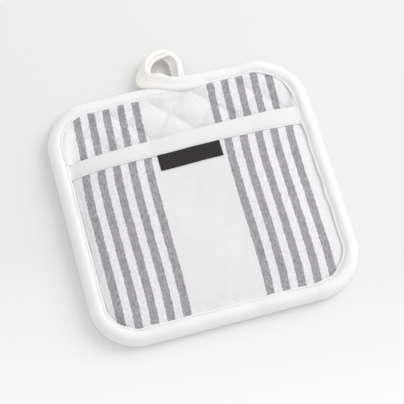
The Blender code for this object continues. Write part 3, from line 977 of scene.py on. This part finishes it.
def pale_floor(name):
    """Pale matt floor with painted light: a little lighter towards the front, where its ramp ends
    smoothly at 1.
    """
    floor = Finish(name, roughness=0.75)
    towards = floor.x * math.sin(CAMERA_AZIMUTH) - floor.y * math.cos(CAMERA_AZIMUTH)
    near = floor.math("MAXIMUM", (towards - FLOOR_NEAR_FROM) / FLOOR_NEAR_OVER, 0.0)
    near = floor.math("SMOOTH_MIN", near, 1.0, FLOOR_NEAR_ROUNDING)
    # Painted light: the floor is lighter towards the front.
    colour = floor.mix(near, FLOOR_FAR, FLOOR_NEAR)
    return floor.close(colour, floor.noise(*FLOOR_GRAIN), depth=0.00001)


# -------- pieces

def dome_between_channels(piece, held):
    """Raises the cloth between channels by the root of the product of two sines, one each way."""
    points = read_points(piece)
    (across, _), (along, _) = quilt_lines(points[:, 0], points[:, 1])
    waves = [np.sin(math.pi * distance / QUILT_SPACING) for distance in (across, along)]
    full = np.sqrt(waves[0] * waves[1])
    side = np.where(points[:, 2] > STRIPED_ABOVE_Z, 1.0, -1.0)
    points[:, 2] += np.where(held, 0.0, side * DOME_HEIGHT * full)
    write_points(piece, points)


def wadding_swells(piece, held):
    """Presses the domes out by air pressure inside the piece, which leaves soft wrinkles.

    The sewn points stay, and no point moves further than the puff limit.
    """
    before = read_points(piece)
    group = piece.vertex_groups.new(name="sewn")
    group.add(np.flatnonzero(held).tolist(), 1.0, "REPLACE")
    cloth = piece.modifiers.new("wadding", "CLOTH")
    cloth.settings.vertex_group_mass = "sewn"
    cloth.settings.use_pressure = True
    cloth.settings.uniform_pressure_force = WADDING_PRESSURE
    cloth.settings.shrink_min = -SPARE_CLOTH
    cloth.settings.effector_weights.gravity = 0.0
    for step in range(1, WADDING_FRAMES + 1):
        bpy.context.scene.frame_set(step)
    bake_modifiers(piece)
    bpy.context.scene.frame_set(1)
    piece.vertex_groups.clear()
    moved = read_points(piece) - before
    reach = np.linalg.norm(moved, axis=1, keepdims=True)
    share = PUFF_LIMIT * np.tanh(reach / PUFF_LIMIT) / np.maximum(reach, 1e-9)
    write_points(piece, before + moved * share)


def make_cushion(material):
    """The quilted pad: two ruled faces joined round the rim, domed, swelled and drawn in.

    The rim and the channels are held while the wadding swells the rest.
    """
    def layer(inset):
        lines = [side_line(s, inset, PAD_ROWS_IN_CORNER, PAD_ROWS_STRAIGHT) for s in (-1, 1)]
        return ruled(*lines, PAD_COLUMNS)

    flat = layer(PAD_INSET)
    rows, columns = flat.shape[:2]
    edge = border(rows, columns)
    x, y = flat.reshape(-1, 2).T
    inset = inset_of(x, y)
    (first, _), (second, _) = quilt_lines(x, y)
    channel = np.minimum(first, second) < CHANNEL_PIN_REACH
    rim = inset < SEWN_RIM
    warped = uneven(x, y)
    top_z = np.where(rim, PAD_RIM_TOP, np.where(channel, CHANNEL_TOP, PAD_TOP_BEFORE))
    low_z = np.where(rim, PAD_RIM_LOW, np.where(channel, CHANNEL_BELLY, PAD_BELLY_BEFORE))
    layers = [points_at(*warped, top_z), points_at(*warped, low_z)]
    faces = grid_faces(rows, columns)
    quads = [faces, faces + len(x)]
    last = edge
    count = 2 * len(x)
    for ring_inset, height in PAD_RIM:
        ring_x, ring_y = layer(ring_inset).reshape(-1, 2)[edge].T
        layers.append(points_at(*uneven(ring_x, ring_y), height))
        current = count + np.arange(len(edge))
        quads.append(band_faces(last, current))
        last = current
        count += len(edge)
    quads.append(band_faces(last, edge + len(x)))
    piece = make_piece("quilted_cushion", np.concatenate(layers), np.concatenate(quads), material)
    held = np.concatenate([rim | channel, rim | channel, np.ones(count - 2 * len(x), bool)])
    dome_between_channels(piece, held)
    wadding_swells(piece, held)
    piece.modifiers.new("round", "SUBSURF").levels = 1
    piece.modifiers["round"].render_levels = 1
    bake_modifiers(piece)
    draw_in_channels(piece)
    return piece


def draw_in_channels(piece):
    """Pulls both faces to the channels' heights, with puckers across each seam.

    Near a channel the height goes to the channel's by e to the minus (distance / half width)
    squared; a pucker is a sine along the channel that dies away over a few millimetres. The
    upper face rises to the binding where it shows, and stays below the pocket panel elsewhere.
    """
    points = read_points(piece)
    x, y, z = points.T
    inset = inset_of(x, y)
    inside = ramp(inset, *CHANNEL_START_INSET)
    upper = z > STRIPED_ABOVE_Z
    channel = np.where(upper, CHANNEL_TOP, CHANNEL_BELLY)
    for (distance, along), drift, swing in zip(quilt_lines(x, y), PUCKER_DRIFT, PUCKER_SWING):
        near = hump(distance, CHANNEL_HALF_WIDTH)
        z = z + inside * near * (channel - z)
        phase = 2.0 * math.pi * along / PUCKER_LENGTH + unevenness(x, y, *drift)
        fade = np.exp(-distance / PUCKER_REACH) * (1.0 - near)
        strength = PUCKER_MEAN + unevenness(x, y, *swing)
        pucker = PUCKER_HEIGHT * np.sin(phase) * fade * strength * inside
        z = z + np.where(upper, pucker, -pucker)
    quilted = y > mouth_y(x)
    step = extra_at_pocket(y) * hump(inset - SEAM_INSET, RIM_STEP_HALF_WIDTH)
    z = z + np.where(upper & quilted, step + rim_lift(x, y), 0.0)
    ceiling = soft_panel_height(x, y) - PANEL_SHEET - GAP
    z = np.where(upper & ~quilted, np.minimum(z, ceiling), z)
    points[:, 2] = np.maximum(z, PAD_LOWEST)
    write_points(piece, points)


def make_pocket(material):
    """The pocket panel: ruled rows of points on the panel's soft height, a thin sheet thick."""
    lines = []
    for side in (-1, 1):
        end = mouth_y(side * (WIDTH / 2 - PANEL_INSET))
        rows = (PANEL_ROWS_IN_CORNER, PANEL_ROWS_STRAIGHT)
        lines.append(side_line(side, PANEL_INSET, *rows, end))
    x, y = np.moveaxis(ruled(*lines, PANEL_COLUMNS, PANEL_CROWDING), -1, 0)
    top = points_at(x, y, soft_panel_height(x, y))
    return closed_sheet("pocket_front", top, PANEL_SHEET, material)


def make_mouth_tape(material):
    """The tape: its section carried across the mouth, its back leg flattened at both ends.

    Its front leg is puffed up by half a sine wave across its width.
    """
    reach = WIDTH / 2 - TAPE_END_INSET
    x = np.linspace(-reach, reach, TAPE_COLUMNS + 1)[:, None]
    share, more, height = read_section(TAPE_SECTION)
    mouth = mouth_y(x)
    y = mouth - share * (mouth - TAPE_FRONT_EDGE_Y + unevenness(x, 0.0 * x, *TAPE_WOBBLE)) - more
    thinner = 1.0 - TAPE_BACK_THINNING * ramp(np.abs(x), *TAPE_BACK_THINS_X)
    height = np.where(height < 0.0, height * thinner, height)
    behind = np.minimum(y, mouth)
    z = free_panel_height(x, behind) - TAPE_FOLLOWS * seam_slope(x, behind) + height
    puff = TAPE_PUFF * np.sin(math.pi * np.clip(share, 0.0, 1.0)) * (height > TAPE_PUFFS_ABOVE)
    return swept("pocket_mouth_tape", points_at(x, y, z + puff), material, closed_along=False)


def make_label_tab(material):
    """The label: a thin rounded section carried along x, thicker where its ends fold under."""
    x = np.linspace(LABEL_LEFT, LABEL_RIGHT, LABEL_COLUMNS + 1)[:, None]
    from_end = np.minimum(x - LABEL_LEFT, LABEL_RIGHT - x)
    thickness = LABEL_CLOTH + LABEL_FOLD * (1.0 - ramp(from_end, *LABEL_FOLD_END))
    thickness = thickness * (LABEL_NIP + (1.0 - LABEL_NIP) * ramp(from_end, *LABEL_NIP_END))
    across, through = read_section(LABEL_SECTION)
    y = TAPE_FRONT_EDGE_Y - GAP - LABEL_HEIGHT + across * LABEL_HEIGHT
    z = soft_panel_height(x, y) + LABEL_CLEARANCE + through * thickness
    return swept("label_tab", points_at(x, y, z), material, closed_along=False)


def make_binding(material):
    """The binding: its section carried round the outline, with its hand-sewn unevenness.

    Its inner edge wanders, it is plumper in places, and gathers, a sine along it, cross its inner
    half, most in the corners.
    """
    places = np.linspace(0.0, OUTLINE_LENGTH, BINDING_STATIONS, endpoint=False)[:, None]
    inset, low, share = read_section(BINDING_SECTION)
    inner = ramp(inset, *BINDING_INNER_INSET)
    upper = ramp(low, *BINDING_UPPER_HEIGHT)
    wander = ring_unevenness(places, *BINDING_WANDER) * inner * upper
    plump = ring_unevenness(places, *BINDING_PLUMPNESS) * (1.0 - PLUMPNESS_LOST_INSIDE * inner)
    phase = 2.0 * math.pi * places / BINDING_GATHER_LENGTH
    phase = phase + ring_unevenness(places, *BINDING_GATHER_DRIFT)
    strength = (1.0 - BINDING_GATHER_AT_SIDES) * corner_share(places) + BINDING_GATHER_AT_SIDES
    gather = BINDING_GATHER_HEIGHT * np.sin(phase) * strength * inner
    gather = gather * (1.0 - hump(inset - SEAM_INSET, BINDING_EDGE_HALF_WIDTH))
    x, y = on_outline(places + 0.0 * inset, inset + wander)
    full = fullness(places, inset) * ramp(low, *FULL_HEIGHT)
    z = low + share * extra_at_pocket(y) + full + upper * (plump + gather)
    return swept("binding_strip", points_at(x, y, z), material, closed_along=True)


def make_loop(material):
    """The binding's free end, folded double: the hairpin section carried along the loop's route.

    The strip bulges by crown x (1 - place across^2), less a valley along its first rows.
    """
    route = smooth_rows(LOOP_ROUTE, LOOP_STEPS_PER_ROW)
    middle = route[:, :3]
    aim, lift = np.radians(route[:, 3:5]).T
    way = [np.cos(aim) * np.cos(lift), np.sin(aim) * np.cos(lift), np.sin(lift)]
    width_way = points_at(*way)
    thick_way = unit(np.cross(width_way, np.gradient(middle, axis=0)))
    half = np.array(LOOP_HALF_SECTION)
    other = half[-2:0:-1] * np.array([1.0, -1.0])
    across, through = read_section(np.concatenate([half, other]))
    half_width, thickness, crown = route[:, 5:, None].transpose(1, 0, 2)
    start, end = LOOP_VALLEY_ROWS
    row = np.arange(len(route))[:, None] / LOOP_STEPS_PER_ROW
    along = np.sin(math.pi * np.clip((row - start) / (end - start), 0.0, 1.0))
    valley = hump(across - LOOP_VALLEY_AT, LOOP_VALLEY_HALF_WIDTH) * (through > 0.0)
    bulge = crown * (1.0 - across**2) - LOOP_VALLEY_DEPTH * along * valley
    side = (half_width * across)[..., None] * width_way[:, None]
    out = (0.5 * thickness * through + bulge)[..., None] * thick_way[:, None]
    return swept("hanging_strip", middle[:, None] + side + out, material, closed_along=False)


# -------- stitches

def make_stitches(name, lines, thread, material):
    """One piece of stitches along lines of points: each a short bowed sausage.

    A line is read at equal steps of its length. A ring stands at the stitch's middle + place x
    half its length x tangent, raised by thread x (rise - bow x place^2). Its radius is its share
    of half the thread's width.
    """
    middles = []
    tangents = []
    for line in lines:
        run = run_length(line, 0)
        places = np.arange(STITCH_PITCH / 2, run[-1], STITCH_PITCH)
        for values, found in ((line, middles), (np.gradient(line, axis=0), tangents)):
            found.append(np.stack([np.interp(places, run, column) for column in values.T], axis=1))
    middle = np.concatenate(middles)[:, None, None]
    tangent = unit(np.concatenate(tangents))[:, None, None]
    up = np.array([0.0, 0.0, 1.0])
    side = unit(np.cross(up, tangent))
    place, share = np.array(STITCH_RINGS).T[:, :, None, None]
    turn = (np.arange(STITCH_SIDES) * 2.0 * math.pi / STITCH_SIDES)[:, None]
    lift = thread * (STITCH_RISE - STITCH_BOW * place**2)
    centre = middle + place * STITCH_LENGTH / 2 * tangent + lift * up
    points = centre + thread / 2 * share * (np.cos(turn) * side + np.sin(turn) * up)
    rings = len(STITCH_RINGS)
    starts = np.arange(len(points)) * rings * STITCH_SIDES
    one = grid_faces(rings, STITCH_SIDES, wrap_columns=True)
    quads = (one + starts[:, None, None]).reshape(-1, 4)
    end = np.arange(STITCH_SIDES)
    caps = [start + cap for start in starts for cap in (end, end + (rings - 1) * STITCH_SIDES)]
    return make_piece(name, points.reshape(-1, 3), quads, material, caps)


def binding_lines():
    """One line on the face, just outside the binding's inner edge."""
    places = np.linspace(0.0, OUTLINE_LENGTH, BINDING_LINE_POINTS)
    x, y = on_outline(places, BINDING_LINE_INSET)
    height = BINDING_LINE_LOW + BINDING_LINE_SHARE * extra_at_pocket(y)
    return [points_at(x, y, height + fullness(places, BINDING_LINE_INSET))]


def tape_lines():
    """One line just behind the tape's front edge."""
    x = np.linspace(-TAPE_LINE_REACH, TAPE_LINE_REACH, TAPE_LINE_POINTS)
    y = TAPE_FRONT_EDGE_Y + TAPE_LINE_FROM_EDGE
    return [points_at(x, y, soft_panel_height(x, y) + TAPE_LINE_HEIGHT)]


def quilt_stitch_lines():
    """Lines along both directions of channels, where the quilted strip shows."""
    lines = []
    reach = np.linspace(*QUILT_LINE_REACH, QUILT_LINE_POINTS)
    for slope in (-1.0, 1.0):
        for count in range(-QUILT_LINES_A_SIDE, QUILT_LINES_A_SIDE + 1):
            x = QUILT_CROSSING[0] + count * QUILT_PITCH + slope * reach
            y = QUILT_CROSSING[1] + reach
            inside = inset_of(x, y) > SEWN_RIM + QUILT_LINE_FROM_RIM
            shown = inside & (y > mouth_y(x) + QUILT_LINE_FROM_MOUTH)
            if shown.sum() > QUILT_LINE_FEWEST:
                lines.append(points_at(x, y, CHANNEL_TOP + QUILT_LINE_HEIGHT)[shown])
    return lines


# -------- the set

def make_floor():
    half = FLOOR_SIZE / 2
    corners = ((-half, -half), (half, -half), (half, half), (-half, half))
    points = [(x, y, FLOOR_Z) for x, y in corners]
    floor = make_piece("floor", points, [[0, 1, 2, 3]], pale_floor("pale_floor"))


def aim_at(thing, place, target):
    thing.location = place
    thing.rotation_euler = (target - place).to_track_quat("-Z", "Y").to_euler()


def from_sphere(azimuth, elevation, distance):
    """A point at that azimuth (0 looks along +Y), elevation and distance from the origin."""
    level = math.cos(elevation)
    way = Vector((math.sin(azimuth) * level, -math.cos(azimuth) * level, math.sin(elevation)))
    return way * distance


def make_camera():
    lens = bpy.data.cameras.new("camera")
    lens.lens = CAMERA_LENS
    lens.sensor_fit = "HORIZONTAL"
    lens.sensor_width = SENSOR
    lens.clip_start = CLIP_START
    camera = add_to_scene("camera", lens)
    place = CAMERA_TARGET + from_sphere(CAMERA_AZIMUTH, CAMERA_ELEVATION, CAMERA_DISTANCE)
    aim_at(camera, place, CAMERA_TARGET)
    bpy.context.scene.camera = camera


def make_lights():
    lamp = bpy.data.lights.new("key", "AREA")
    lamp.shape = "SQUARE"
    lamp.size = KEY_SIZE
    lamp.energy = KEY_POWER
    key = add_to_scene("key", lamp)
    place = from_sphere(KEY_AZIMUTH + math.pi / 2, KEY_ELEVATION, KEY_DISTANCE)
    aim_at(key, place, Vector((0, 0, 0)))
    sky = bpy.data.worlds.new("sky")
    sky.use_nodes = True
    shade = sky.node_tree.nodes["Background"]
    shade.inputs["Color"].default_value = (1.0, 1.0, 1.0, 1.0)
    shade.inputs["Strength"].default_value = SKY_STRENGTH
    bpy.context.scene.world = sky
    bpy.context.scene.view_settings.view_transform = "Standard"


def place_piece(piece, slot, *nodes):
    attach(piece, "root")
    if nodes:
        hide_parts(*nodes)


def main():
    make_camera()
    make_lights()
    make_floor()
    tape = cotton_tape("white_tape", TAPE_WHITE, NO_GLOW)
    strip = cotton_tape("white_binding", BINDING_WHITE, BINDING_GLOW)
    thread = sewing_thread("white_thread", THREAD_WHITE)

    # Only the quilted cloth gets painted glints, a painted highlight; the pocket has none.
    quilted = striped_cotton("striped_quilted_cotton", STRIP_STRIPES, painted_glint_share=0.4, quilted=True)
    cushion = make_cushion(quilted)
    place_piece(cushion, "striped_cotton", "quilted_pad")

    pocket = make_pocket(striped_cotton("striped_pocket_cotton", POCKET_STRIPES, painted_glint_share=0.0))
    place_piece(pocket, "striped_cotton", "pocket_panel")

    mouth = make_mouth_tape(tape)
    place_piece(mouth, "white_cotton_tape", "pocket_tape")

    label = make_label_tab(woven_label("black_label_cloth"))
    place_piece(label, "black_woven_tape", "black_label")

    binding = make_binding(strip)
    place_piece(binding, "white_cotton_tape", "edge_binding")

    loop = make_loop(cotton_tape("loop_tape", BINDING_WHITE, LOOP_GLOW, painted_bounce=LOOP_PAINTED_BOUNCE))
    place_piece(loop, "white_cotton_tape", "hanging_loop")

    for name, lines, size in (
        ("binding_stitches", binding_lines(), THREAD),
        ("tape_stitches", tape_lines(), THREAD),
        ("quilt_stitches", quilt_stitch_lines(), QUILTING_THREAD),
    ):
        place_piece(make_stitches(name, lines, size, thread), "white_cotton_tape")


main()
